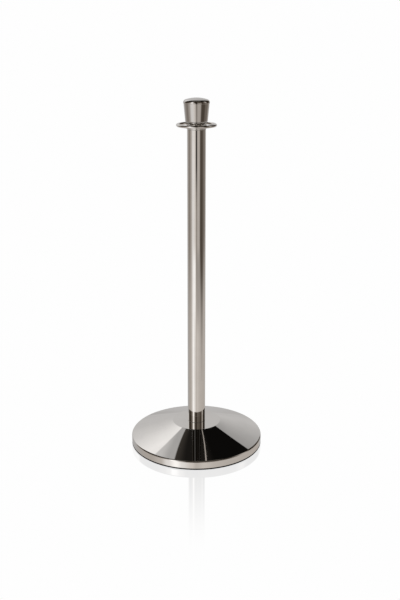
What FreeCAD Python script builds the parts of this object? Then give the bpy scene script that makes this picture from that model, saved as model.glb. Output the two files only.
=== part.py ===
import FreeCAD, Part
import os
import re

import Sketcher

# A rope barrier post. Millimetres, +Z up, origin on the floor at the centre of the base.
# From the floor up: an iron weight under a spun cover, a plain tube on a gasket, a neck
# spigot that carries a turning ring for the rope hooks, and a tapered head that screws down on
# the neck and keeps the ring in place.

SIZES = {
    # base
    "base_od": 382,            # over the upright rim of the cover
    "rim_top": 25,             # where the upright rim turns into the cone
    "rim_round": 3,
    "plateau_od": 140,         # flat middle of the cover
    "plateau_top": 66,
    "plateau_round": 5,
    "cover_sheet": 1.2,
    "cover_edge": 3,           # lower edge of the cover above the floor
    "bolt_hole_od": 18,
    "weight_od": 378,
    "weight_top_od": 134,
    "weight_rim_top": 23.2,
    "weight_rim_width": 15,
    "weight_disc": 10,         # thickness of the flat disc
    "boss_od": 74,
    "recess_od": 60,           # round pocket for the bolt head, open underneath
    "recess_top": 30,
    "rib_count": 6,
    "rib_width": 7,
    "rib_gap": 0.5,            # how far a rib stays below the line of the rim and the boss
    "rib_root": 2,             # how far a rib runs into the casting
    "floor_ring_bore": 340,
    "floor_ring_od": 382,
    "floor_ring_foot": 3,
    "floor_ring_bevel": 0.5,
    "lip_bore": 352,           # lip of the floor ring, pressed into a groove of the weight
    "lip_od": 360,
    "lip_height": 3.5,
    "groove_depth": 4,
    # fasteners of the base
    "clamp_plate_od": 50,
    "clamp_plate_thick": 4,
    "clamp_hole_od": 17,
    "spring_od": 27.4,
    "spring_bore": 16.2,
    "spring_thick": 3.5,
    "spring_split": 6,         # degrees left open
    "bolt_od": 16,
    "bolt_head_flats": 24,
    "bolt_head_thick": 10,
    "bolt_reach": 65,
    "bolt_bevel": 1,
    "plate_bevel": 0.6,
    # post
    "gasket_thick": 0.5,
    "gasket_od": 50.4,
    "tube_od": 50.8,
    "tube_wall": 1.5,
    "tube_top": 917,
    "foot_plug_thick": 25,
    "foot_plug_bevel": 1,
    "neck_plug_thick": 20,
    "neck_od": 38,
    "neck_top": 937.5,
    "neck_bevel": 0.8,
    # ring for the rope hooks
    "washer_thick": 1,
    "washer_bore": 38.6,
    "lower_washer_od": 50,
    "upper_washer_od": 51,
    "turning_gap": 0.1,        # upright play of the collar at each end
    "bush_bore": 38.1,
    "bush_wall": 1.45,
    "bush_inset": 0.1,         # how far the bush stays inside the ends of the collar
    "collar_od": 54,
    "collar_round": 1.2,
    "ring_bar": 8,
    "ring_od": 110,
    "ring_height": 928,
    "spoke_bar": 6,
    "spoke_count": 2,
    "spoke_start": 90,         # degrees from +X to the first bar
    # head
    "stud_od": 12,
    "thread_bore": 12.1,
    "stud_low": 923.5,
    "stud_top": 962,
    "stud_bevel": 1,
    "head_low_od": 60.6,
    "head_top_od": 69.6,
    "head_top": 985.5,
    "head_round": 1.5,
    "head_lip": 0.8,
    "head_wall": 2.5,
    "head_floor": 6,
    "insert_od": 20,
    "insert_flange_od": 28,
    "insert_flange_thick": 3,
    "insert_depth": 5,
    "stud_nut_flats": 18,
    "stud_nut_thick": 6,
    "stud_nut_bevel": 0.8,
    "cap_od": 71.4,
    "cap_top": 1000,
    "cap_crown": 120,          # radius of the low dome
    "cap_round": 7,
    "cap_foot_round": 1.2,
    "cap_skirt_od": 64.6,
    "cap_skirt_wall": 2.5,
    "cap_skirt_depth": 8,
    "cap_thick": 9,
}

doc = FreeCAD.newDocument("rope_post")
sheet = doc.addObject("Spreadsheet::Sheet", "Sizes")
for row, (alias, value) in enumerate(SIZES.items(), 1):
    sheet.set(f"A{row}", str(value))
    sheet.setAlias(f"A{row}", alias)
doc.recompute()

CELLS = {alias: "Sizes." + alias for alias in SIZES}
SAME_PLACE = 0.01              # two edges closer than this are one

parts = []


def size(formula):
    """The formula with every alias in it named as a cell of the sheet."""
    return re.sub(r"[a-z_]+", lambda word: CELLS.get(word[0], word[0]), formula)


def number(formula):
    return float(sheet.evalExpression(formula))


def bind(thing, path, formula):
    thing.setExpression(path, size(formula))


def origin_plane(body, role):
    return next(plane for plane in body.Origin.OriginFeatures if plane.Role == role)


def upright_outline(body, name, corners, arcs=None):
    """A closed sketch on the body's XZ plane, round (radius, height) corners given as formulas.

    The corners run anticlockwise. arcs maps a corner's number to the radius of the outward arc
    that leaves it.
    """
    arcs = arcs or {}
    sketch = body.newObject("Sketcher::SketchObject", name)
    sketch.AttachmentSupport = [(origin_plane(body, "XZ_Plane"), "")]
    sketch.MapMode = "FlatFace"
    points = [FreeCAD.Vector(number(across), number(up), 0) for across, up in corners]
    for index, start in enumerate(points):
        stop = points[(index + 1) % len(points)]
        if index in arcs:
            sketch.addGeometry(outward_arc(start, stop, number(arcs[index])))
        else:
            sketch.addGeometry(Part.LineSegment(start, stop))
    for index in range(len(points)):
        following = (index + 1) % len(points)
        sketch.addConstraint(Sketcher.Constraint("Coincident", index, 2, following, 1))
    for index, (across, up) in enumerate(corners):
        fix_corner(sketch, index, "DistanceX", -2, across)
        fix_corner(sketch, index, "DistanceY", -1, up)
    for index, radius in arcs.items():
        place = sketch.addConstraint(Sketcher.Constraint("Radius", index, number(radius)))
        bind(sketch, f"Constraints[{place}]", radius)
    return sketch


def outward_arc(start, stop, radius):
    """The short anticlockwise arc from start to stop."""
    chord = stop - start
    left = FreeCAD.Vector(-chord.y, chord.x, 0).normalize()
    depth = (radius ** 2 - chord.Length ** 2 / 4) ** 0.5
    centre = start + chord * 0.5 + left * depth
    crown = centre - left * radius
    return Part.Arc(start, crown, stop)


def fix_corner(sketch, index, kind, axis, formula):
    """Hold one corner on an axis, or at its distance from the origin."""
    if formula == "0":
        sketch.addConstraint(Sketcher.Constraint("PointOnObject", index, 1, axis))
        return
    constraint = Sketcher.Constraint(kind, -1, 1, index, 1, number(formula))
    place = sketch.addConstraint(constraint)
    bind(sketch, f"Constraints[{place}]", formula)


def turned(name, corners, arcs=None, sweep="360"):
    """A body turned about Z from a half outline."""
    body = doc.addObject("PartDesign::Body", name)
    sketch = upright_outline(body, name + "_outline", corners, arcs)
    turn = body.newObject("PartDesign::Revolution", name + "_turn")
    turn.Profile = sketch
    turn.ReferenceAxis = (sketch, ["V_Axis"])
    bind(turn, "Angle", sweep)
    doc.recompute()
    parts.append(body)
    return body


def sleeve(name, bore, outside, low, top, sweep="360"):
    """A plain round piece with a bore, all four given as formulas."""
    inner = f"{bore} / 2"
    outer = f"{outside} / 2"
    return turned(name, [(inner, low), (outer, low), (outer, top), (inner, top)], sweep=sweep)


def edges_at(shape, places):
    """Names of the circular edges about Z at the given (radius, height) formulas."""
    wanted = [(number(across), number(up)) for across, up in places]
    names = []
    for index, edge in enumerate(shape.Edges, 1):
        if edge.Degenerated or edge.Curve.TypeId != "Part::GeomCircle":
            continue
        for across, up in wanted:
            off_radius = abs(edge.Curve.Radius - across)
            off_height = abs(edge.Curve.Center.z - up)
            if off_radius < SAME_PLACE and off_height < SAME_PLACE:
                names.append(f"Edge{index}")
    return names


def rounded(body, radius, places):
    """Round the circular edges of a turned body."""
    sharp = body.Tip
    fillet = body.newObject("PartDesign::Fillet", f"{body.Name}_round")
    fillet.Base = (sharp, edges_at(sharp.Shape, places))
    bind(fillet, "Radius", radius)
    doc.recompute()


def bevelled(body, width, places):
    """Chamfer the circular edges of a turned body."""
    sharp = body.Tip
    chamfer = body.newObject("PartDesign::Chamfer", f"{body.Name}_bevel")
    chamfer.Base = (sharp, edges_at(sharp.Shape, places))
    bind(chamfer, "Size", width)
    doc.recompute()


def repeat_about_z(body, feature, count):
    """Repeat a pad or pocket all the way round the upright axis of its own sketch."""
    pattern = body.newObject("PartDesign::PolarPattern", feature.Name + "_repeat")
    pattern.Originals = [feature]
    pattern.Axis = (feature.Profile[0], ["V_Axis"])
    pattern.Angle = 360
    bind(pattern, "Occurrences", count)
    body.Tip = pattern
    doc.recompute()


def milled_flats(body, across_flats, low, top):
    """Cut six flats on a turned bolt head or nut."""
    before = body.Shape.Volume
    corners = [(f"{across_flats} / 2", low), (f"{across_flats}", low),
               (f"{across_flats}", top), (f"{across_flats} / 2", top)]
    sketch = upright_outline(body, body.Name + "_flat", corners)
    cut = body.newObject("PartDesign::Pocket", body.Name + "_cut")
    cut.Profile = sketch
    cut.SideType = "Symmetric"
    bind(cut, "Length", f"{across_flats} * 2")
    doc.recompute()
    repeat_about_z(body, cut, "6")
    if body.Shape.Volume >= before:
        raise RuntimeError(body.Name + ": the flats cut nothing")


# ---------------------------------------------------------------- base

def make_base_cover():
    """Spun shell: plateau, cone and upright rim of one thickness, open underneath."""
    body = turned("base_cover", [
        ("0", "cover_edge"),
        ("base_od / 2", "cover_edge"),
        ("base_od / 2", "rim_top"),
        ("plateau_od / 2", "plateau_top"),
        ("0", "plateau_top"),
    ])
    rounded(body, "plateau_round", [("plateau_od / 2", "plateau_top")])
    rounded(body, "rim_round", [("base_od / 2", "rim_top")])
    solid = body.Tip
    underside = next(
        f"Face{index}" for index, face in enumerate(solid.Shape.Faces, 1)
        if face.Surface.TypeId == "Part::GeomPlane" and face.CenterOfMass.z < number("rim_top"))
    shell = body.newObject("PartDesign::Thickness", "base_cover_shell")
    shell.Base = (solid, [underside])
    bind(shell, "Value", "cover_sheet")
    shell.Reversed = True
    doc.recompute()
    hole = upright_outline(body, "base_cover_hole", [
        ("0", "rim_top"),
        ("bolt_hole_od / 2", "rim_top"),
        ("bolt_hole_od / 2", "plateau_top + cover_sheet"),
        ("0", "plateau_top + cover_sheet"),
    ])
    groove = body.newObject("PartDesign::Groove", "base_cover_bore")
    groove.Profile = hole
    groove.ReferenceAxis = (hole, ["V_Axis"])
    groove.Angle = 360
    doc.recompute()


def make_base_weight():
    """Casting: flat disc with a raised rim, a boss with a pocket for the bolt head, and ribs."""
    disc_top = "(floor_ring_foot + weight_disc)"
    boss_top = "(plateau_top - cover_sheet)"
    slope = f"(({boss_top} - weight_rim_top) / (weight_od / 2 - weight_top_od / 2))"
    rim_bore = "(weight_od / 2 - weight_rim_width)"
    groove_top = "floor_ring_foot + groove_depth"
    body = turned("base_weight", [
        ("bolt_hole_od / 2", "recess_top"),
        ("recess_od / 2", "recess_top"),
        ("recess_od / 2", "floor_ring_foot"),
        ("lip_bore / 2", "floor_ring_foot"),
        ("lip_bore / 2", groove_top),
        ("lip_od / 2", groove_top),
        ("lip_od / 2", "floor_ring_foot"),
        ("weight_od / 2", "floor_ring_foot"),
        ("weight_od / 2", "weight_rim_top"),
        (rim_bore, f"weight_rim_top + weight_rim_width * {slope}"),
        (rim_bore, disc_top),
        ("boss_od / 2", disc_top),
        ("boss_od / 2", boss_top),
        ("bolt_hole_od / 2", boss_top),
    ])
    before = body.Shape.Volume
    rib_low = f"{disc_top} - rib_root"
    rib_end = f"{rim_bore} + rib_root"
    rib_end_top = f"weight_rim_top + (weight_rim_width - rib_root) * {slope} - rib_gap"
    outline = upright_outline(body, "base_weight_rib_outline", [
        ("boss_od / 2 - rib_root", rib_low),
        (rib_end, rib_low),
        (rib_end, rib_end_top),
        ("weight_top_od / 2", f"{boss_top} - rib_gap"),
        ("boss_od / 2 - rib_root", f"{boss_top} - rib_gap"),
    ])
    rib = body.newObject("PartDesign::Pad", "base_weight_rib")
    rib.Profile = outline
    rib.SideType = "Symmetric"
    bind(rib, "Length", "rib_width")
    doc.recompute()
    repeat_about_z(body, rib, "rib_count")
    if body.Shape.Volume <= before:
        raise RuntimeError("base_weight: the ribs added nothing")


def make_floor_ring():
    """Rubber ring: a flat foot under the edge of the weight, and a lip pressed into its groove."""
    lip_top = "floor_ring_foot + lip_height"
    body = turned("floor_ring", [
        ("floor_ring_bore / 2", "0"),
        ("floor_ring_od / 2", "0"),
        ("floor_ring_od / 2", "floor_ring_foot"),
        ("lip_od / 2", "floor_ring_foot"),
        ("lip_od / 2", lip_top),
        ("lip_bore / 2", lip_top),
        ("lip_bore / 2", "floor_ring_foot"),
        ("floor_ring_bore / 2", "floor_ring_foot"),
    ])
    bevelled(body, "floor_ring_bevel", [("floor_ring_bore / 2", "0")])


def make_base_fasteners():
    """Clamp plate, split washer and hexagon bolt, stacked in the pocket of the weight."""
    plate_low = "recess_top - clamp_plate_thick"
    spring_low = f"{plate_low} - spring_thick"
    head_low = f"{spring_low} - bolt_head_thick"
    plate = sleeve("clamp_plate", "clamp_hole_od", "clamp_plate_od", plate_low, "recess_top")
    bevelled(plate, "plate_bevel", [("clamp_plate_od / 2", plate_low)])
    sleeve("spring_washer", "spring_bore", "spring_od", spring_low, plate_low,
           sweep="360 - spring_split")
    corner = "bolt_head_flats / 2 / cos(30)"
    shank_end = f"{spring_low} + bolt_reach"
    bolt = turned("base_bolt", [
        ("0", head_low),
        (corner, head_low),
        (corner, spring_low),
        ("bolt_od / 2", spring_low),
        ("bolt_od / 2", shank_end),
        ("0", shank_end),
    ])
    bevelled(bolt, "bolt_bevel", [(corner, head_low), ("bolt_od / 2", shank_end)])
    milled_flats(bolt, "bolt_head_flats", head_low, spring_low)


# ---------------------------------------------------------------- post

TUBE_LOW = "(plateau_top + gasket_thick)"
TUBE_BORE = "(tube_od - 2 * tube_wall)"


def make_post():
    """Gasket, tube and the two plugs welded into its ends."""
    sleeve("foot_gasket", "bolt_hole_od", "gasket_od", "plateau_top", TUBE_LOW)
    sleeve("post_tube", TUBE_BORE, "tube_od", TUBE_LOW, "tube_top")
    plug_top = f"{TUBE_LOW} + foot_plug_thick"
    foot = sleeve("foot_plug", "bolt_od", TUBE_BORE, TUBE_LOW, plug_top)
    bevelled(foot, "foot_plug_bevel", [("bolt_od / 2", TUBE_LOW), (f"{TUBE_BORE} / 2", plug_top)])
    neck = turned("top_plug", [
        ("thread_bore / 2", "tube_top - neck_plug_thick"),
        (f"{TUBE_BORE} / 2", "tube_top - neck_plug_thick"),
        (f"{TUBE_BORE} / 2", "tube_top"),
        ("neck_od / 2", "tube_top"),
        ("neck_od / 2", "neck_top"),
        ("thread_bore / 2", "neck_top"),
    ])
    bevelled(neck, "neck_bevel", [("neck_od / 2", "neck_top"), ("thread_bore / 2", "neck_top")])


# ---------------------------------------------------------------- ring for the rope hooks

def make_washers():
    """Nylon thrust washers under and over the collar."""
    sleeve("lower_washer", "washer_bore", "lower_washer_od", "tube_top", "tube_top + washer_thick")
    sleeve("upper_washer", "washer_bore", "upper_washer_od", "neck_top - washer_thick", "neck_top")


def make_collar():
    """Turned collar with its plastic bush, which runs on the neck."""
    low = "tube_top + washer_thick + turning_gap"
    top = "neck_top - washer_thick - turning_gap"
    bush_od = "(bush_bore + 2 * bush_wall)"
    collar = sleeve("ring_collar", bush_od, "collar_od", low, top)
    rounded(collar, "collar_round", [("collar_od / 2", low), ("collar_od / 2", top)])
    sleeve("collar_bush", "bush_bore", bush_od, f"{low} + bush_inset", f"{top} - bush_inset")


def torus(name):
    """The bent bar, with its seam turned away from the spokes."""
    bar = doc.addObject("Part::Torus", name)
    bind(bar, "Radius1", "(ring_od - ring_bar) / 2")
    bind(bar, "Radius2", "ring_bar / 2")
    bind(bar, "Placement.Base.z", "ring_height")
    return bar


def make_rope_ring():
    """Round bar ring and the short bars that join it to the collar."""
    parts.append(torus("rope_ring"))
    spokes = []
    for index in range(int(number("spoke_count"))):
        bar = doc.addObject("Part::Cylinder", f"spoke_bar_{index}")
        bind(bar, "Radius", "spoke_bar / 2")
        bind(bar, "Height", "(ring_od - ring_bar) / 2")
        bind(bar, "Placement.Base.z", "ring_height")
        turn = number(f"spoke_start + 360 / spoke_count * {index}")
        bar.Placement.Rotation = FreeCAD.Rotation(turn, 90, 0)
        outside = doc.addObject("Part::Cut", f"spoke_to_ring_{index}")
        outside.Base = bar
        outside.Tool = torus(f"ring_cutter_{index}")
        core = doc.addObject("Part::Cylinder", f"collar_cutter_{index}")
        bind(core, "Radius", "collar_od / 2")
        bind(core, "Height", "neck_top")
        spoke = doc.addObject("Part::Cut", f"spoke_{index}")
        spoke.Base = outside
        spoke.Tool = core
        spokes.append(spoke)
    group = doc.addObject("Part::Compound", "ring_spokes")
    group.Links = spokes
    doc.recompute()
    parts.append(group)


# ---------------------------------------------------------------- head

def make_head():
    """Tapered shell with its stud, and the dome pressed into the top."""
    floor_top = "(neck_top + head_floor)"
    taper = "((head_top_od - head_low_od) / 2 / (head_top - neck_top))"
    seat = "(head_top - cap_skirt_depth)"
    inner_low = f"(head_low_od / 2 + head_floor * {taper} - head_wall)"
    inner_top = f"(head_top_od / 2 - cap_skirt_depth * {taper} - head_wall)"
    body = turned("head_body", [
        ("insert_od / 2", "neck_top"),
        ("head_low_od / 2", "neck_top"),
        ("head_top_od / 2", "head_top"),
        ("cap_skirt_od / 2", "head_top"),
        ("cap_skirt_od / 2", seat),
        (inner_top, seat),
        (inner_low, floor_top),
        ("insert_od / 2", floor_top),
    ])
    rounded(body, "head_round", [("head_low_od / 2", "neck_top")])
    rounded(body, "head_lip", [("head_top_od / 2", "head_top")])

    flange_top = f"{floor_top} + insert_flange_thick"
    turned("head_insert", [
        ("thread_bore / 2", f"{floor_top} - insert_depth"),
        ("insert_od / 2", f"{floor_top} - insert_depth"),
        ("insert_od / 2", floor_top),
        ("insert_flange_od / 2", floor_top),
        ("insert_flange_od / 2", flange_top),
        ("thread_bore / 2", flange_top),
    ])
    stud = turned("head_stud", [
        ("0", "stud_low"),
        ("stud_od / 2", "stud_low"),
        ("stud_od / 2", "stud_top"),
        ("0", "stud_top"),
    ])
    bevelled(stud, "stud_bevel", [("stud_od / 2", "stud_low"), ("stud_od / 2", "stud_top")])
    nut_top = f"{flange_top} + stud_nut_thick"
    corner = "stud_nut_flats / cos(30)"
    nut = sleeve("head_nut", "thread_bore", corner, flange_top, nut_top)
    bevelled(nut, "stud_nut_bevel", [(f"{corner} / 2", nut_top), (f"{corner} / 2", flange_top)])
    milled_flats(nut, "stud_nut_flats", flange_top, nut_top)


def make_head_cap():
    """Low domed cap: a skirt pressed into the shell and a lip that stands out over it."""
    skirt_low = "head_top - cap_skirt_depth"
    skirt_bore = "cap_skirt_od / 2 - cap_skirt_wall"
    recess = "cap_top - cap_thick"
    edge = "cap_top - cap_crown + sqrt(cap_crown ^ 2 - (cap_od / 2) ^ 2)"
    cap = turned("head_cap", [
        ("0", recess),
        (skirt_bore, recess),
        (skirt_bore, skirt_low),
        ("cap_skirt_od / 2", skirt_low),
        ("cap_skirt_od / 2", "head_top"),
        ("cap_od / 2", "head_top"),
        ("cap_od / 2", edge),
        ("0", "cap_top"),
    ], arcs={6: "cap_crown"})
    rounded(cap, "cap_round", [("cap_od / 2", edge)])
    rounded(cap, "cap_foot_round", [("cap_od / 2", "head_top")])


make_floor_ring()
make_base_weight()
make_base_cover()
make_base_fasteners()
make_post()
make_washers()
make_collar()
make_rope_ring()
make_head()
make_head_cap()
doc.recompute()

failed = [thing.Name for thing in doc.Objects if {"Invalid", "Error"} & set(thing.State)]
failed += [part.Label for part in parts if part.Shape.isNull() or not part.Shape.isValid()]
if failed:
    raise RuntimeError("failed: " + ", ".join(failed))

os.makedirs("parts", exist_ok=True)
for part in parts:
    part.Shape.exportStep(f"parts/{part.Label}.step")
    box = part.Shape.optimalBoundingBox()
    print(f"{part.Label:14s} {len(part.Shape.Solids)} solid(s) {part.Shape.Volume:12.1f} mm3"
          f"  z {box.ZMin:8.2f} to {box.ZMax:8.2f}  width {box.XLength:7.2f}")
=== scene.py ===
"""A rope barrier post of mirror-polished steel, standing on a glossy white floor.

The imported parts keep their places. Every round piece that shows is turned again here with finer
edges, the ring bars get their welds, and the screws get real threads. Metres, +Z up.
"""

import math

import bmesh
import bpy
from mathutils import Matrix, Vector


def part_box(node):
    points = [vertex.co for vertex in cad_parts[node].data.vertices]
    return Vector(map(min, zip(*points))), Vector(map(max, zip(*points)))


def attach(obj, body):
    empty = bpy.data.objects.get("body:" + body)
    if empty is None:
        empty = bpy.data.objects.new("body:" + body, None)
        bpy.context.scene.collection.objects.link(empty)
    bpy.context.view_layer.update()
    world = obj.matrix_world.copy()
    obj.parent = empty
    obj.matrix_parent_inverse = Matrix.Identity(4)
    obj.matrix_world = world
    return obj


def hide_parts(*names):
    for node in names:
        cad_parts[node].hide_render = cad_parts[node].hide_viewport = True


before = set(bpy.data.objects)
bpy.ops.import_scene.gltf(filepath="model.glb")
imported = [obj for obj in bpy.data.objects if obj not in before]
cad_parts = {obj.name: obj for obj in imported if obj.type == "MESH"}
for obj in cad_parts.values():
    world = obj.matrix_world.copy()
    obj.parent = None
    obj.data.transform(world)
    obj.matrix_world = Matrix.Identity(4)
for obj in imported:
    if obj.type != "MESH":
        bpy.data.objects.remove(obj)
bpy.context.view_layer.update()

MM = 0.001
TAU = 2 * math.pi
SHARP = math.radians(32)       # edges that turn more than this stay crisp
GUARD = 0.03 * MM              # a narrow face beside each rounding keeps the long faces true
COINCIDENT = 1e-7              # vertices nearer than this are one
TINY = 0.001                   # keeps the studio's divisions away from 0
WHITE = (0.991, 0.991, 0.991)  # the floor and the air round the post
BLACK = (0, 0, 0, 1)
STEEL = (0.80, 0.79, 0.77)     # what polished stainless steel gives back
HEAD_STEEL = (0.69, 0.68, 0.665)  # the head is cast, and a little darker


# ---------------------------------------------------------------- outlines and turned meshes

def arc(centre, radius, start, stop, steps=8):
    """Points of an arc in the (radius, height) plane, from one angle to another in degrees."""
    points = []
    for step in range(steps + 1):
        angle = math.radians(start + (stop - start) * step / steps)
        points.append(Vector((centre[0] + radius * math.cos(angle),
                              centre[1] + radius * math.sin(angle))))
    return points


def outline(*corners, steps=6):
    """A closed half outline. A corner is (radius, height), or (radius, height, rounding)."""
    points = []
    for index, corner in enumerate(corners):
        here = Vector(corner[:2])
        if len(corner) == 2:
            points.append(here)
            continue
        rounding = corner[2]
        back = Vector(corners[index - 1][:2]) - here
        ahead = Vector(corners[(index + 1) % len(corners)][:2]) - here
        half = back.angle(ahead) / 2
        inward = (back.normalized() + ahead.normalized()).normalized()
        centre = here + inward * (rounding / math.sin(half))
        reach = rounding / math.tan(half)
        start = (here + back.normalized() * reach - centre).normalized()
        stop = (here + ahead.normalized() * reach - centre).normalized()
        points.append(here + back.normalized() * (reach + GUARD))
        for step in range(steps + 1):
            points.append(centre + start.slerp(stop, step / steps).normalized() * rounding)
        points.append(here + ahead.normalized() * (reach + GUARD))
    return points


def finish_mesh(mesh, name, body, material):
    """Weld, smooth and shade a bmesh, and make it a piece that rides on a body."""
    bmesh.ops.remove_doubles(mesh, verts=mesh.verts, dist=COINCIDENT)
    bmesh.ops.recalc_face_normals(mesh, faces=mesh.faces)
    for face in mesh.faces:
        face.smooth = True
    for edge in mesh.edges:
        edge.smooth = edge.is_manifold and edge.calc_face_angle(0) < SHARP
    data = bpy.data.meshes.new(name)
    mesh.to_mesh(data)
    mesh.free()
    data.materials.append(material)
    piece = bpy.data.objects.new(name, data)
    bpy.context.scene.collection.objects.link(piece)
    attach(piece, body)
    return piece


def loop(mesh, around, reach, height):
    """A closed row of vertices about Z: reach(angle) is its radius."""
    row = []
    for step in range(around):
        angle = TAU * step / around
        radius = reach(angle)
        row.append(mesh.verts.new((radius * math.cos(angle), radius * math.sin(angle), height)))
    return row


def bridge(mesh, rows):
    """Quads between each row of vertices and the next, every row a closed loop."""
    for low, high in zip(rows, rows[1:]):
        for index in range(len(low)):
            after = (index + 1) % len(low)
            mesh.faces.new((low[index], low[after], high[after], high[index]))


def close_rod(mesh, rows):
    """The sides and both ends of a rod."""
    bridge(mesh, rows)
    mesh.faces.new(list(reversed(rows[0])))
    mesh.faces.new(rows[-1])


def turned(name, points, body, material, replaces, around=192):
    """A piece turned about Z from a closed half outline."""
    mesh = bmesh.new()
    bridge(mesh, [loop(mesh, around, lambda angle: point.x, point.y)
                  for point in points + points[:1]])
    piece = finish_mesh(mesh, name, body, material)
    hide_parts(replaces)


def lifted(name, levels, reach, body, material, replaces, around):
    """A closed rod about Z: reach(angle, height, index) is its radius at each level."""
    mesh = bmesh.new()
    close_rod(mesh, [loop(mesh, around, lambda angle: reach(angle, height, index), height)
                     for index, height in enumerate(levels)])
    piece = finish_mesh(mesh, name, body, material)
    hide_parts(replaces)


def width(node):
    """The outer radius, lowest point and highest point of a round node."""
    low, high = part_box(node)
    return (high[0] - low[0]) / 2, low[2], high[2]


# ---------------------------------------------------------------- node graphs

class Graph:
    """Short names for the nodes that the materials and the studio are made of."""

    def __init__(self, tree):
        self.tree = tree
        tree.nodes.clear()

    def node(self, kind, **settings):
        node = self.tree.nodes.new(kind)
        for name, value in settings.items():
            setattr(node, name, value)
        return node

    def feed(self, socket, value):
        if isinstance(value, bpy.types.NodeSocket):
            self.tree.links.new(value, socket)
        else:
            socket.default_value = value

    def math(self, operation, *values):
        node = self.node("ShaderNodeMath", operation=operation)
        for socket, value in zip(node.inputs, values):
            self.feed(socket, value)
        return node.outputs[0]

    def times(self, first, second):
        return self.math("MULTIPLY", first, second)

    def apart(self, first, second):
        return self.math("ABSOLUTE", self.math("SUBTRACT", first, second))

    def length(self, x, y):
        return self.math("SQRT", self.math("ADD", self.times(x, x), self.times(y, y)))

    def blend(self, factor, first, second):
        """first where factor is 0, second where it is 1."""
        node = self.node("ShaderNodeMix", data_type="RGBA")
        self.feed(node.inputs["Factor"], factor)
        self.feed(node.inputs[6], first)
        self.feed(node.inputs[7], second)
        return node.outputs[2]

    def fade(self, value, start, stop, low=0.0, high=1.0):
        """low up to start, high from stop on, and a smooth run between."""
        node = self.node("ShaderNodeMapRange", interpolation_type="SMOOTHSTEP")
        self.feed(node.inputs["Value"], value)
        for socket, number in zip(list(node.inputs)[1:5], (start, stop, low, high)):
            self.feed(socket, number)
        return node.outputs[0]

    def ramp(self, factor, stops):
        """A smooth colour ramp through (place, colour) stops."""
        node = self.node("ShaderNodeValToRGB")
        ramp = node.color_ramp
        ramp.interpolation = "EASE"
        for place, colour in stops[2:]:
            ramp.elements.new(place)
        for element, (place, colour) in zip(ramp.elements, sorted(stops)):
            element.position = place
            element.color = (*colour, 1)
        self.feed(node.inputs[0], factor)
        return node.outputs[0]

    def parts_of(self, vector):
        node = self.node("ShaderNodeSeparateXYZ")
        self.feed(node.inputs[0], vector)
        return node.outputs

    def joined(self, x, y, z):
        node = self.node("ShaderNodeCombineXYZ")
        for socket, value in zip(node.inputs, (x, y, z)):
            self.feed(socket, value)
        return node.outputs[0]

    def noise(self, vector, scale, detail=3.0, roughness=0.5):
        node = self.node("ShaderNodeTexNoise")
        for name, value in (("Vector", vector), ("Scale", scale), ("Detail", detail),
                            ("Roughness", roughness)):
            self.feed(node.inputs[name], value)
        return node.outputs[0]

    def bump(self, height, depth, normal=None):
        """A bump whose full height is depth metres."""
        node = self.node("ShaderNodeBump")
        self.feed(node.inputs["Height"], height)
        self.feed(node.inputs["Distance"], depth)
        if normal:
            self.feed(node.inputs["Normal"], normal)
        return node.outputs[0]


def grey(level, warmth=0.0):
    """Linear light of a display grey from 0 to 255, a little warmer or cooler."""
    return tuple(((level + shift) / 255) ** 2.2 for shift in (warmth, 0, -warmth))


# ---------------------------------------------------------------- materials

def material(name, metallic=0.0, **uniform):
    """A new material with its graph, its shader and the object coordinates in metres."""
    made = bpy.data.materials.new(name)
    made.use_nodes = True
    graph = Graph(made.node_tree)
    shader = graph.node("ShaderNodeBsdfPrincipled")
    output = graph.node("ShaderNodeOutputMaterial")
    graph.feed(output.inputs[0], shader.outputs[0])
    shader.inputs["Metallic"].default_value = metallic
    for socket, value in uniform.items():
        shader.inputs[socket.replace("_", " ")].default_value = value
    place = graph.node("ShaderNodeTexCoord").outputs["Object"]
    return made, graph, shader.inputs, place


def ring_lines(graph, place, pitch):
    """Fine lines that run round the Z axis, as turning and buffing leave them."""
    x, y, z = graph.parts_of(place)
    return graph.noise(graph.joined(graph.length(x, y), 0.0, z), 1 / pitch, 4.0, 0.7)


def polished_steel(name, line_depth, waviness, colour=STEEL, haze=0.028):
    """Mirror-polished stainless steel with faint buffing lines, wiping marks and a slow wave."""
    made, graph, inputs, place = material(name, metallic=1.0)
    wiped = graph.noise(place, 24.0, 5.0, 0.62)
    lines = ring_lines(graph, place, 0.35 * MM)
    smeared = tuple(0.96 * part for part in colour)
    graph.feed(inputs["Base Color"], graph.blend(
        graph.fade(wiped, 0.35, 0.7), (*colour, 1), (*smeared, 1)))
    graph.feed(inputs["Roughness"], graph.math(
        "ADD", graph.fade(wiped, 0.42, 0.75, haze, 2 * haze),
        graph.fade(lines, 0.45, 0.8, 0.0, 0.7 * haze)))
    wave = graph.bump(graph.noise(place, 9.0, 1.0), waviness)
    graph.feed(inputs["Normal"], graph.bump(lines, line_depth, wave))
    return made


def turned_steel(name, colour, pitch, depth, roughness):
    """Bare or plated steel that still shows its turning marks."""
    made, graph, inputs, place = material(name, metallic=1.0)
    lines = ring_lines(graph, place, pitch)
    cloud = graph.noise(place, 120.0, 4.0, 0.6)
    dull = tuple(0.72 * part for part in colour)
    graph.feed(inputs["Base Color"], graph.blend(
        graph.fade(cloud, 0.4, 0.75), (*colour, 1), (*dull, 1)))
    graph.feed(inputs["Roughness"], graph.fade(cloud, 0.3, 0.8, roughness, roughness + 0.14))
    graph.feed(inputs["Normal"], graph.bump(lines, depth))
    return made


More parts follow.
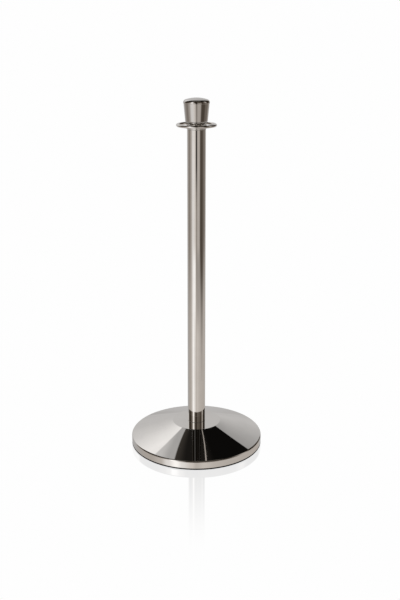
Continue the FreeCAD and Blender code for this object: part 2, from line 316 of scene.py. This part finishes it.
def zinc_plate():
    """Zinc plate: pale blue steel with a yellowish bloom in patches."""
    made, graph, inputs, place = material("zinc_plate", metallic=1.0)
    cloud = graph.noise(place, 160.0, 4.0, 0.6)
    speck = graph.noise(place, 1800.0, 2.0, 0.6)
    blue, plain, yellow = (0.60, 0.63, 0.68), (0.70, 0.70, 0.70), (0.72, 0.68, 0.58)
    graph.feed(inputs["Base Color"], graph.ramp(cloud, [
        (0.30, blue), (0.52, plain), (0.70, yellow)]))
    graph.feed(inputs["Roughness"], graph.fade(speck, 0.3, 0.8, 0.26, 0.42))
    graph.feed(inputs["Normal"], graph.bump(speck, 0.004 * MM))
    return made


def moulded(name, colour, paler, roughness, grain, depth, **uniform):
    """Rubber or plastic with a moulded grain and paler scuffs."""
    made, graph, inputs, place = material(name, **uniform)
    fine = graph.noise(place, 1 / grain, 3.0, 0.6)
    scuffs = graph.noise(place, 90.0, 5.0, 0.7)
    graph.feed(inputs["Base Color"], graph.blend(
        graph.fade(scuffs, 0.5, 0.85), (*colour, 1), (*paler, 1)))
    graph.feed(inputs["Roughness"], graph.fade(fine, 0.3, 0.8, roughness, roughness + 0.15))
    graph.feed(inputs["Normal"], graph.bump(fine, depth))
    return made


def cast_iron():
    """Sand-cast iron under thin black paint, with rust where the paint is thin."""
    made, graph, inputs, place = material("cast_iron", metallic=0.0)
    sand = graph.noise(place, 620.0, 6.0, 0.65)
    lumps = graph.noise(place, 55.0, 3.0, 0.5)
    paint, thin_paint, rust = (0.035, 0.035, 0.037), (0.060, 0.058, 0.056), (0.16, 0.075, 0.04)
    graph.feed(inputs["Base Color"], graph.ramp(lumps, [
        (0.35, paint), (0.62, thin_paint), (0.78, rust)]))
    graph.feed(inputs["Roughness"], graph.fade(sand, 0.3, 0.7, 0.55, 0.85))
    coarse = graph.bump(lumps, 0.5 * MM)
    graph.feed(inputs["Normal"], graph.bump(sand, 0.18 * MM, coarse))
    return made


# MIRROR is the tube and the ring, SPUN the base cover, CAST the head
MIRROR = polished_steel("mirror_steel", 0.00003 * MM, 0.004 * MM)
SPUN = polished_steel("spun_steel", 0.00005 * MM, 0.008 * MM, haze=0.016)
CAST = polished_steel("cast_steel", 0.00004 * MM, 0.004 * MM, HEAD_STEEL, haze=0.022)
PLAIN = turned_steel("turned_steel", (0.62, 0.61, 0.60), 0.12 * MM, 0.004 * MM, 0.24)
ZINC = zinc_plate()
IRON = cast_iron()
RUBBER = moulded("rubber", (0.012, 0.012, 0.0125), (0.03, 0.029, 0.028), 0.6, 0.4 * MM, 0.02 * MM,
                 Specular_IOR_Level=0.2)
GASKET = moulded("gasket", (0.42, 0.42, 0.41), (0.52, 0.52, 0.50), 0.30, 0.5 * MM, 0.01 * MM,
                 Subsurface_Weight=0.2)
NYLON = moulded("nylon", (0.80, 0.79, 0.74), (0.70, 0.68, 0.62), 0.34, 0.6 * MM, 0.01 * MM,
                Subsurface_Weight=0.15)
ACETAL = moulded("acetal", (0.040, 0.040, 0.042), (0.07, 0.07, 0.07), 0.30, 0.6 * MM, 0.006 * MM)

for node, made in (
        ("base_weight", IRON), ("clamp_plate", ZINC), ("spring_washer", ZINC), ("foot_plug", PLAIN),
        ("top_plug", PLAIN), ("collar_bush", ACETAL), ("head_insert", PLAIN)):
    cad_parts[node].data.materials.clear()
    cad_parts[node].data.materials.append(made)


# ---------------------------------------------------------------- base

COVER_SHEET = 1.2 * MM
PLATEAU_RADIUS = 70 * MM
RIM_TOP = 25 * MM          # where the lines of the cone and of the upright rim meet
CUT_EDGE = 0.4 * MM
RUBBER_BEAD = 1 * MM       # the rubber ring's soft edge, which stands up under the cover's cut edge


def make_base_cover():
    """Spun cover: plateau, cone and upright rim, one sheet with softened cut edges."""
    outer, low, top = width("base_cover")
    edge = low + RUBBER_BEAD
    slope = math.atan2(top - RIM_TOP, outer - PLATEAU_RADIUS)
    inner = outer - COVER_SHEET
    rim_in = COVER_SHEET * math.tan((math.pi / 2 - slope) / 2)
    plateau_in = COVER_SHEET * math.tan(slope / 2)
    bore = 9 * MM
    rim_bend, plateau_bend = 4.5 * MM, 5 * MM
    points = outline(
        (outer, edge, CUT_EDGE),
        (outer, RIM_TOP, rim_bend),
        (PLATEAU_RADIUS, top, plateau_bend),
        (bore, top, CUT_EDGE),
        (bore, top - COVER_SHEET, CUT_EDGE),
        (PLATEAU_RADIUS - plateau_in, top - COVER_SHEET, plateau_bend - COVER_SHEET),
        (inner, RIM_TOP - rim_in, rim_bend - COVER_SHEET),
        (inner, edge, CUT_EDGE),
        steps=14)
    turned("spun_cover", points, "base_and_post", SPUN, "base_cover", 360)


def make_floor_ring():
    """Rubber ring: a grooved foot with a bead, and the lip that is pressed into the casting."""
    outer, low, top = width("floor_ring")
    inner, foot = outer - 21 * MM, low + 3 * MM
    lip_in, lip_out = 176 * MM, 180 * MM
    bead_in, bead_top = outer - COVER_SHEET, foot + RUBBER_BEAD
    soft, softer, bead_soft = 0.4 * MM, 0.5 * MM, 0.3 * MM
    groove = 0.7 * MM
    tread = []
    for middle in (outer - 14 * MM, outer - 9 * MM, outer - 4 * MM):
        tread += [(middle - groove, low), (middle - groove / 2, low + groove),
                  (middle + groove / 2, low + groove), (middle + groove, low)]
    points = outline(
        (inner, low, softer), *tread, (outer, low, soft),
        (outer, bead_top, bead_soft), (bead_in, bead_top, bead_soft), (bead_in, foot),
        (lip_out, foot), (lip_out, top, softer), (lip_in, top, softer), (lip_in, foot),
        (inner, foot, soft))
    turned("rubber_ring", points, "base_and_post", RUBBER, "floor_ring", 240)


# ---------------------------------------------------------------- screws

THREAD_DEPTH = 0.61        # in pitches
THREAD_FLANK = 2.6         # how fast the flank climbs, in depths a turn
THREAD_ROOT = 0.15         # how much of the climb is lost in the root
ROOT_ROUNDING = 1.15       # 1 is a sharp root
HEX_CHAMFER = 1.8          # how fast a hexagon's chamfer widens with height
M12_PITCH = 1.75 * MM
M16_PITCH = 2 * MM


def hexagon(half_flats, angle):
    """Distance from the axis to the side of a hexagon, at an angle."""
    return half_flats / math.cos((angle + math.pi / 6) % (math.pi / 3) - math.pi / 6)


def thread(outer, pitch, angle, height):
    """Radius of a right-hand metric thread: flat crests, rounded roots."""
    turn = (height / pitch - angle / TAU) % 1
    climb = min(1.0, max(0.0, abs(turn - 0.5) * THREAD_FLANK - THREAD_ROOT))
    return outer - THREAD_DEPTH * pitch * (1 - climb) ** ROOT_ROUNDING


def even_levels(low, top, step):
    """Even heights from low to top, about step apart."""
    count = max(1, round((top - low) / step))
    return [low + (top - low) * index / count for index in range(count + 1)]


def make_head_stud():
    """M12 stud with its real thread, seen when the head is unscrewed."""
    outer, low, top = width("head_stud")
    bevel = 1.3 * MM

    def reach(angle, height, index):
        ends = outer - bevel + min(height - low, top - height)
        return min(thread(outer, M12_PITCH, angle, height), ends)

    levels = even_levels(low, top, M12_PITCH / 12)
    lifted("threaded_stud", levels, reach, "head", ZINC, "head_stud", 48)


def make_base_bolt():
    """M16 hexagon bolt: chamfered head, washer face, plain neck and thread."""
    low, top = (corner[2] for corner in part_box("base_bolt"))
    outer, bevel = 8 * MM, 1.6 * MM
    half_flats, chamfered, washer_face = 12 * MM, 11.52 * MM, 11.4 * MM
    face_height = 0.4 * MM
    head_top = low + 10 * MM
    neck_top = head_top + 8 * MM
    head_levels = even_levels(low, head_top - face_height, face_height)
    face_levels = [head_top - face_height, head_top]
    shank_levels = [head_top, neck_top] + even_levels(neck_top, top, M16_PITCH / 12)[1:]
    levels = head_levels + face_levels + shank_levels

    def reach(angle, height, index):
        if index < len(head_levels):
            return min(hexagon(half_flats, angle), chamfered + (height - low) * HEX_CHAMFER)
        if index < len(head_levels + face_levels):
            return washer_face
        if height <= neck_top:
            return outer
        return min(thread(outer, M16_PITCH, angle, height), outer - bevel + top - height)

    lifted("threaded_bolt", levels, reach, "base_and_post", ZINC, "base_bolt", 96)


def make_head_nut():
    """Thin M12 nut, chamfered on both faces."""
    low, top = (corner[2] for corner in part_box("head_nut"))
    half_flats, chamfered = 9 * MM, 8.73 * MM
    bore = 6.05 * MM
    around = 96
    mesh = bmesh.new()

    def side(height):
        chamfer = chamfered + min(height - low, top - height) * HEX_CHAMFER
        return loop(mesh, around, lambda angle: min(hexagon(half_flats, angle), chamfer), height)

    rows = [side(height) for height in even_levels(low, top, 0.5 * MM)]
    rows += [loop(mesh, around, lambda angle: bore, height) for height in (top, low)]
    bridge(mesh, rows + [side(low)])
    piece = finish_mesh(mesh, "lock_nut", "head", ZINC)
    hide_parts("head_nut")


# ---------------------------------------------------------------- post and rope ring

def make_post():
    """Tube with softened ends."""
    outer, low, top = width("post_tube")
    inner, end = outer - 1.5 * MM, 0.3 * MM
    points = outline((outer, low, end), (outer, top, end), (inner, top), (inner, low))
    turned("tube", points, "base_and_post", MIRROR, "post_tube")


def make_washers():
    """The thin gasket and the two thrust washers, with softened edges."""
    soft = 0.12 * MM
    for node, body, slot, made, bore in (
            ("foot_gasket", "base_and_post", "gasket", GASKET, 9 * MM),
            ("lower_washer", "base_and_post", "nylon", NYLON, 19.3 * MM),
            ("upper_washer", "head_carrier", "nylon", NYLON, 19.3 * MM)):
        outer, low, top = width(node)
        points = outline((outer, low, soft), (outer, top, soft),
                         (bore, top, soft), (bore, low, soft))
        turned(node + "_disc", points, body, made, node)


def make_rope_ring():
    """Turned collar, bent bar, and the two short bars welded between them."""
    collar_outer, low, top = width("ring_collar")
    bore, collar_edge, bore_edge = 20.5 * MM, 1.2 * MM, 0.4 * MM
    points = outline((collar_outer, low, collar_edge), (collar_outer, top, collar_edge),
                     (bore, top, bore_edge), (bore, low, bore_edge))
    turned("collar", points, "rope_ring_assembly", MIRROR, "ring_collar")

    outer, low, top = width("rope_ring")
    bar = (top - low) / 2
    middle = (low + top) / 2
    circle = arc((outer - bar, middle), bar, 0, 360, 32)[:-1]
    turned("bent_bar", circle, "rope_ring_assembly", MIRROR, "rope_ring", 240)
    make_ring_spokes(collar_outer, outer - 2 * bar, middle)


def make_ring_spokes(collar_outer, bar_inner, middle):
    """The bars between collar and ring, front and back, flared where they are welded on."""
    mesh = bmesh.new()
    spoke = width("ring_spokes")[0]
    sink = 0.8 * MM            # how far a bar reaches into the collar and into the ring
    weld, weld_length = 1.28 * MM, 3.2 * MM
    sides = 40
    start, stop = collar_outer - sink, bar_inner + sink
    for turn in (math.pi / 2, -math.pi / 2):
        out = Vector((math.cos(turn), math.sin(turn), 0))
        side = Vector((-math.sin(turn), math.cos(turn), 0))
        rows = []
        for along in even_levels(start, stop, 0.4 * MM):
            from_end = max(0.0, min(along - start, stop - along) - sink)
            in_weld = 1 - min(1.0, from_end / weld_length)
            radius = spoke + weld * (1 - math.sqrt(1 - in_weld ** 2))
            row = []
            for step in range(sides):
                angle = TAU * step / sides
                up = Vector((0, 0, middle + radius * math.sin(angle)))
                row.append(mesh.verts.new(out * along + side * radius * math.cos(angle) + up))
            rows.append(row)
        close_rod(mesh, rows)
    piece = finish_mesh(mesh, "welded_bars", "rope_ring_assembly", MIRROR)
    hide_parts("ring_spokes")


# ---------------------------------------------------------------- head

def make_head():
    """Tapered shell with a rounded foot, a thick floor and a seat for the cap's skirt."""
    low, top = (corner[2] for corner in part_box("head_body"))
    foot, mouth = 30.3 * MM, 34.8 * MM
    wall, floor, seat = 2.5 * MM, 6 * MM, 8 * MM
    socket, bore = 32.3 * MM, 10 * MM
    bore_edge, foot_edge, mouth_edge, floor_corner = 0.3 * MM, 1.5 * MM, 0.4 * MM, 3 * MM
    taper = (mouth - foot) / (top - low)
    points = outline(
        (bore, low, bore_edge), (foot, low, foot_edge), (mouth, top, mouth_edge), (socket, top),
        (socket, top - seat), (mouth - seat * taper - wall, top - seat),
        (foot + floor * taper - wall, low + floor, floor_corner), (bore, low + floor),
        steps=12)
    turned("tapered_shell", points, "head", CAST, "head_body")


def make_head_cap():
    """Low dome with a soft edge, a rounded foot and the skirt inside the shell."""
    low, top = (corner[2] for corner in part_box("head_cap"))
    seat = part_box("head_body")[1][2]
    outer, crown, edge = 35.7 * MM, 98 * MM, 8 * MM      # crown and edge are radii of the dome
    skirt, bore, foot = 32.3 * MM, 29.8 * MM, 0.6 * MM
    roof = top - 9 * MM
    centre = top - crown
    hub = Vector((outer - edge, centre + math.sqrt((crown - edge) ** 2 - (outer - edge) ** 2)))
    meet = math.degrees(math.atan2(hub.y - centre, hub.x))
    points = arc((outer - foot, seat + foot), foot, -90, 0, 8)
    points += arc(hub, edge, 0, meet, 16)
    points += arc((0, centre), crown, meet, 90, 30)[1:]
    points += [Vector((0, roof)), Vector((bore, roof)), Vector((bore, low)), Vector((skirt, low)),
               Vector((skirt, seat))]
    turned("domed_cap", points, "head", CAST, "head_cap")


make_base_cover()
make_floor_ring()
make_base_bolt()
make_head_stud()
make_head_nut()
make_post()
make_washers()
make_rope_ring()
make_head()
make_head_cap()


# ---------------------------------------------------------------- studio

def lit(level, warmth):
    """The light that polished steel shows as a display grey."""
    return tuple(light / part for light, part in zip(grey(level, warmth), STEEL))


def on_ramp(azimuth):
    """Where an azimuth lies on a ramp. Azimuths are 0 towards the camera, + to its right."""
    return azimuth / 360 + 0.5


def around_stops(levels):
    """Ramp stops from {azimuth: display grey}."""
    stops = []
    for azimuth, level in sorted(levels.items()):
        if abs(azimuth) > 150:
            warmth = 3         # the wall and the floor behind the post
        elif level < 205:
            warmth = 8         # the room and its dark cards
        else:
            warmth = 5         # the lamps
        stops.append((on_ramp(azimuth), lit(level, warmth)))
    return stops


# What the steel sees of the studio, by azimuth. ROOM is the dim room with its lamps, NEAR the
# floor at the foot of the post, FAR the floor a few metres out.
ROOM = {-150: 120, -125: 98, -95: 40, -75: 68, -60: 108, -48: 174, -42: 265, -37: 250, -28: 165,
        -16: 65, 0: 40, 12: 92, 26: 84, 40: 84, 55: 47, 70: 90, 88: 165, 104: 30, 140: 40,
        160: 100}
NEAR = {-180: 170, -155: 160, -90: 156, -66: 172, -52: 214, -36: 245, -24: 214, -8: 190, 0: 172,
        14: 184, 35: 172, 60: 168, 90: 165, 140: 160, 155: 166, 180: 170}
FAR = {-180: 180, -155: 176, -110: 130, -94: 114, -72: 148, -46: 211, -32: 212, -20: 202, -10: 182,
       -5: 160, 0: 108, 5: 142, 10: 156, 18: 164, 34: 160, 50: 70, 64: 68, 78: 70, 90: 97, 98: 104,
       112: 98, 134: 145, 155: 172, 180: 180}
FLOOR_REACH = 40.0


def azimuth_factor(graph, x, y):
    """Where the azimuth of a direction, or of a place on the floor, lies on a ramp."""
    angle = graph.math("ARCTAN2", x, graph.times(y, -1.0))
    return graph.math("ADD", graph.math("DIVIDE", angle, TAU), 0.5)


def sector(graph, around, middle, half_width, core):
    """1 up to core degrees from the middle azimuth, and 0 from half_width degrees on."""
    return graph.fade(graph.apart(around, on_ramp(middle)), half_width / 360, core / 360)


def slit(graph, across, back):
    """1 on a thin bright gap in the ceiling card, which leans to the right as it goes back."""
    slant, start = 0.62, 0.212
    line = graph.math("SUBTRACT", graph.times(back, slant), start)
    return graph.fade(graph.apart(across, line), 0.007, 0.002)


def make_ceiling(graph, x, y, z, pale):
    """The pale backdrop under a flat black ceiling card, which hangs over the post.

    Places on the ceiling are across and back from the post, in units of its height.
    """
    up = graph.math("MAXIMUM", z, TINY)
    across = graph.math("DIVIDE", x, up)
    back = graph.math("DIVIDE", y, up)
    card_corner, card_back, lean = 0.48, 1.0, 0.44
    leaning = graph.math("ADD", across,
                         graph.times(graph.math("MAXIMUM", back, card_corner), lean))
    right_of_edge = graph.fade(leaning, 0.026, 0.042)
    left_of_edge = graph.fade(leaning, 0.042, 0.026)
    over_card = graph.fade(back, card_back, 0.98)
    overhead = graph.fade(back, card_corner, 0.44)
    covered = graph.times(over_card, graph.math("MAXIMUM", right_of_edge, overhead))

    # left of the card a dimmer step, darkest beside the card's edge
    step = graph.times(graph.fade(back, 0.75, 0.72), left_of_edge)
    depth = graph.fade(leaning, -0.055, 0.0, 0.37, 0.55)
    dimmed = graph.blend(graph.times(step, depth), pale, BLACK)

    # the card is darker to the right, and has the slit
    card = graph.blend(graph.fade(leaning, 0.04, 0.12), (*lit(50, 4), 1), (*lit(29, 2), 1))
    card = graph.blend(graph.fade(across, 0.09, 0.17), card, (*lit(18, 1), 1))
    card = graph.blend(slit(graph, across, back), card, (*lit(150, 8), 1))
    return graph.blend(covered, dimmed, card)


def make_world():
    """White to the eye. To the steel: a pale wall behind, a dim room in front, a black ceiling."""
    world = bpy.data.worlds.new("studio")
    bpy.context.scene.world = world
    world.use_nodes = True
    graph = Graph(world.node_tree)
    x, y, z = graph.parts_of(graph.node("ShaderNodeTexCoord").outputs["Generated"])
    flat = graph.math("MAXIMUM", graph.length(x, y), TINY)
    to_right = graph.math("DIVIDE", x, flat)
    rise = graph.times(graph.math("ARCTAN2", z, flat), math.degrees(1))
    around = azimuth_factor(graph, x, y)

    # the backdrop is brighter high on the left, darker high on the right, and dim at its foot
    tilt_from, tilt_over, tilt, brightest = 10.0, 30.0, -0.95, 1.7
    above = graph.math("MAXIMUM", graph.math("SUBTRACT", rise, tilt_from), 0.0)
    slope = graph.times(graph.times(to_right, tilt), graph.math("DIVIDE", above, tilt_over))
    gain = graph.math("MINIMUM", graph.math("EXPONENT", slope), brightest)
    gain = graph.times(gain, graph.fade(rise, -5.0, 6.0, 0.86, 1.0))
    backdrop = graph.node("ShaderNodeVectorMath", operation="SCALE")
    backdrop.inputs[0].default_value = lit(180, 3)
    graph.feed(backdrop.inputs["Scale"], gain)
    behind = make_ceiling(graph, x, y, z, backdrop.outputs[0])

    # the room darkens upwards and is paler again right over the post
    room = graph.blend(graph.fade(rise, 30.0, 50.0, 0.0, 0.92),
                       graph.ramp(around, around_stops(ROOM)), BLACK)
    room = graph.blend(graph.fade(rise, 66.0, 71.0), room, (*lit(85, 6), 1))

    # the backdrop ends at the left and at the right, and the floor lies under the horizon
    is_behind = graph.math("MAXIMUM", graph.fade(around, on_ramp(-117), on_ramp(-127.8)),
                           graph.fade(around, on_ramp(144), on_ramp(152)))
    upper = graph.blend(is_behind, room, behind)
    near = graph.ramp(around, around_stops(NEAR))
    seen_in_steel = graph.blend(graph.fade(rise, -17.0, -14.0), near, upper)

    path = graph.node("ShaderNodeLightPath")
    direct = graph.math("MAXIMUM", path.outputs["Is Camera Ray"], path.outputs["Is Singular Ray"])
    background = graph.node("ShaderNodeBackground")
    graph.feed(background.inputs[0], graph.blend(direct, seen_in_steel, (*WHITE, 1)))
    output = graph.node("ShaderNodeOutputWorld")
    graph.feed(output.inputs[0], background.outputs[0])


def flat_ring(name, inner, outer, around=96):
    """A flat ring on the floor, or a disc where inner is 0."""
    mesh = bmesh.new()
    bridge(mesh, [loop(mesh, around, lambda angle: radius, 0) for radius in (inner, outer)])
    bmesh.ops.remove_doubles(mesh, verts=mesh.verts, dist=COINCIDENT)
    data = bpy.data.meshes.new(name)
    mesh.to_mesh(data)
    mesh.free()
    ring = bpy.data.objects.new(name, data)
    bpy.context.scene.collection.objects.link(ring)
    return ring


def stage_material(ring):
    """A new material for a floor: its graph, the place on the floor, its light and its surface."""
    made = bpy.data.materials.new(ring.name)
    made.use_nodes = True
    ring.data.materials.append(made)
    graph = Graph(made.node_tree)
    x, y = graph.parts_of(graph.node("ShaderNodeTexCoord").outputs["Object"])[:2]
    emission = graph.node("ShaderNodeEmission")
    output = graph.node("ShaderNodeOutputMaterial")
    return graph, x, y, emission, output.inputs[0]


def make_floor():
    """The white floor that the camera sees, with a clear reflection close to the post."""
    floor = flat_ring("floor_seen", 0.0, FLOOR_REACH)
    floor.visible_glossy = False
    floor.visible_diffuse = False
    floor.visible_shadow = False
    graph, x, y, emission, surface = stage_material(floor)
    far = graph.length(x, y)
    emission.inputs[0].default_value = (*WHITE, 1)
    gloss = graph.node("ShaderNodeBsdfAnisotropic")
    gloss.inputs["Color"].default_value = (1, 1, 1, 1)
    gloss.inputs["Roughness"].default_value = 0.0
    mixed = graph.node("ShaderNodeMixShader")
    clearest = 0.22
    graph.feed(mixed.inputs[0], graph.fade(far, 0.10, 0.60, clearest, 0.0))
    graph.feed(mixed.inputs[1], emission.outputs[0])
    graph.feed(mixed.inputs[2], gloss.outputs[0])
    graph.feed(surface, mixed.outputs[0])


def make_mirrored_floor():
    """The same floor as the steel sees it: pale close by, lights and dark cards farther out."""
    floor = flat_ring("floor_mirrored", 0.5, FLOOR_REACH)
    floor.location.z = -1 * MM     # under the floor that is seen, so its gloss doesn't show this
    floor.visible_camera = False
    floor.visible_shadow = False
    graph, x, y, emission, surface = stage_material(floor)
    far = graph.length(x, y)
    around = azimuth_factor(graph, x, y)
    near = graph.ramp(around, around_stops(NEAR))
    cards = graph.ramp(around, around_stops(FAR))

    # a dark gap straight in front, beyond the lamps
    gap = graph.times(sector(graph, around, -1, 15, 2), graph.fade(far, 3.0, 5.5, 0.0, 0.94))
    cards = graph.blend(gap, cards, BLACK)

    # the cards start nearer on the right, and farther out beyond that
    nearer = graph.times(sector(graph, around, 72, 26, 8), 0.5)
    farther = graph.times(sector(graph, around, 118, 24, 8), 0.35)
    reach = graph.math("SUBTRACT", graph.math("ADD", far, nearer), farther)
    shown = graph.blend(graph.fade(reach, 0.7, 2.6), near, cards)

    # a faint shade and a pool of light, side by side in front of the post
    off_pool = graph.apart(far, 1.7)
    shade = graph.times(sector(graph, around, 20, 27, 12), graph.fade(off_pool, 0.8, 0.3))
    pool = graph.times(sector(graph, around, -28, 24, 6), graph.fade(off_pool, 0.9, 0.2))
    shown = graph.blend(graph.times(shade, 0.27), shown, BLACK)
    graph.feed(emission.inputs[0], graph.blend(pool, shown, (*lit(238, 4), 1)))
    graph.feed(surface, emission.outputs[0])


def make_camera():
    """A camera in front of the post, a little above its head and looking down at it."""
    down, to_right, roll = math.radians(17.444), math.radians(0.234), math.radians(0.083)
    camera = bpy.data.cameras.new("camera")
    camera.lens = 54.4
    camera.sensor_width = 36
    camera.clip_end = 100
    eye = bpy.data.objects.new("camera", camera)
    eye.location = (0, -2.4587, 1.2090)
    eye.rotation_euler = (Matrix.Rotation(-to_right, 3, "Z")
                          @ Matrix.Rotation(math.pi / 2 - down, 3, "X")
                          @ Matrix.Rotation(roll, 3, "Z")).to_euler()
    bpy.context.scene.collection.objects.link(eye)
    bpy.context.scene.camera = eye


make_world()
make_floor()
make_mirrored_floor()
make_camera()
bpy.context.scene.view_settings.view_transform = "Standard"
